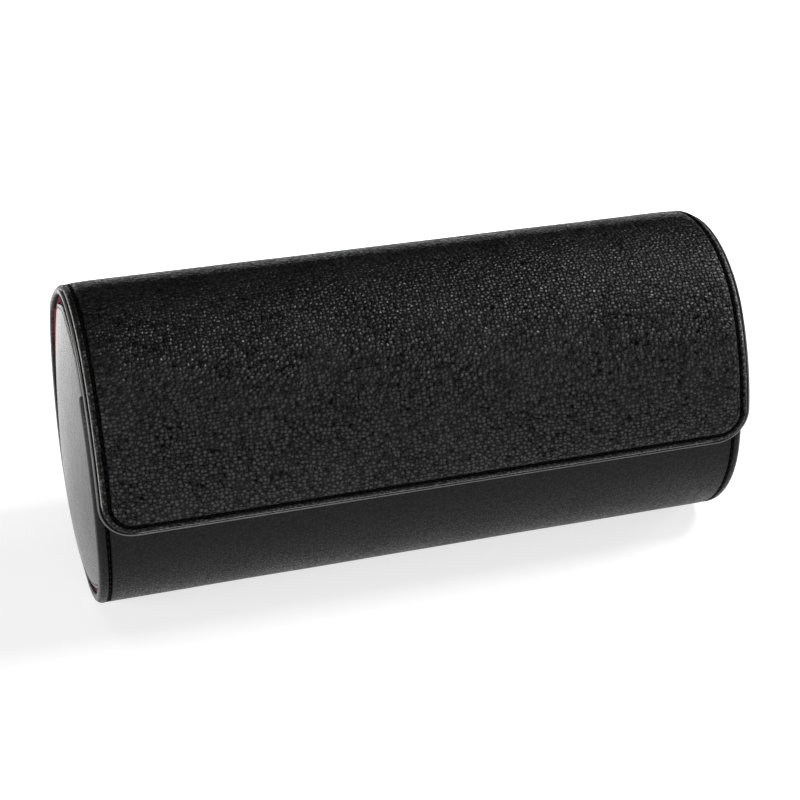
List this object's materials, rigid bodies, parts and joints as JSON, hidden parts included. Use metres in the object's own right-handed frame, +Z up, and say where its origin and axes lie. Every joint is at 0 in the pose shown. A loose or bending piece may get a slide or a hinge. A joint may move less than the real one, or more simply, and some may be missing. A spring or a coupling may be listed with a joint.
{
  "type": "watch travel case",
  "caption": "Oval roll shaped watch travel case with a padded leather flap, domed ends, a lined bore, dividers and lift out watch cushions.",
  "frame": {"origin": "middle of the flat foot, on the surface that the case stands on", "axes": "+X along the case to the right as seen from the front, +Y from the front to the hinge side, +Z up"},
  "size_m": [0.2148, 0.0932, 0.0997],
  "materials": {
    "black_leather": "black pebble grain leather with a soft sheen",
    "red_lining": "crimson microsuede lining",
    "cushion_fabric": "crimson microsuede cushion cover",
    "grey_board": "raw grey bookbinder's board",
    "foam": "open cell polyurethane foam",
    "magnet_nickel": "nickel plated magnet",
    "plate_steel": "plain steel"
  },
  "bodies": {
    "case_body": {"shell_leather": "black_leather", "shell_board": "grey_board", "shell_lining": "red_lining", "front_edge_binding": "black_leather", "base_pad": "foam", "divider_core_left": "grey_board", "divider_core_right": "grey_board", "divider_cover_left": "red_lining", "divider_cover_right": "red_lining", "end_board_left": "grey_board", "end_board_right": "grey_board", "end_lining_left": "red_lining", "end_lining_right": "red_lining", "end_pad_left": "foam", "end_pad_right": "foam", "end_cover_left": "black_leather", "end_cover_right": "black_leather", "strike_plate_left": "plate_steel", "strike_plate_right": "plate_steel", "hinge_leather": "black_leather", "hinge_lining": "red_lining"},
    "flap": {"flap_leather": "black_leather", "flap_foam": "foam", "flap_board": "grey_board", "flap_lining": "red_lining", "magnet_left": "magnet_nickel", "magnet_right": "magnet_nickel"},
    "cushion_left": {"cushion_cover_left": "cushion_fabric", "cushion_core_left": "foam"},
    "cushion_middle": {"cushion_cover_middle": "cushion_fabric", "cushion_core_middle": "foam"},
    "cushion_right": {"cushion_cover_right": "cushion_fabric", "cushion_core_right": "foam"}
  },
  "joints": [
    {"name": "lid_hinge", "type": "hinge", "parent": "case_body", "child": "flap", "pos_m": [0, 0.02667, 0.08788], "axis": [-1, 0, 0], "range_deg": [0, 165], "deforming": ["hinge_leather", "hinge_lining"]},
    {"name": "cushion_lift_left", "type": "slide", "parent": "case_body", "child": "cushion_left", "axis": [0, 0, 1], "range_m": [0, 0.012]},
    {"name": "cushion_lift_middle", "type": "slide", "parent": "case_body", "child": "cushion_middle", "axis": [0, 0, 1], "range_m": [0, 0.012]},
    {"name": "cushion_lift_right", "type": "slide", "parent": "case_body", "child": "cushion_right", "axis": [0, 0, 1], "range_m": [0, 0.012]}
  ]
}
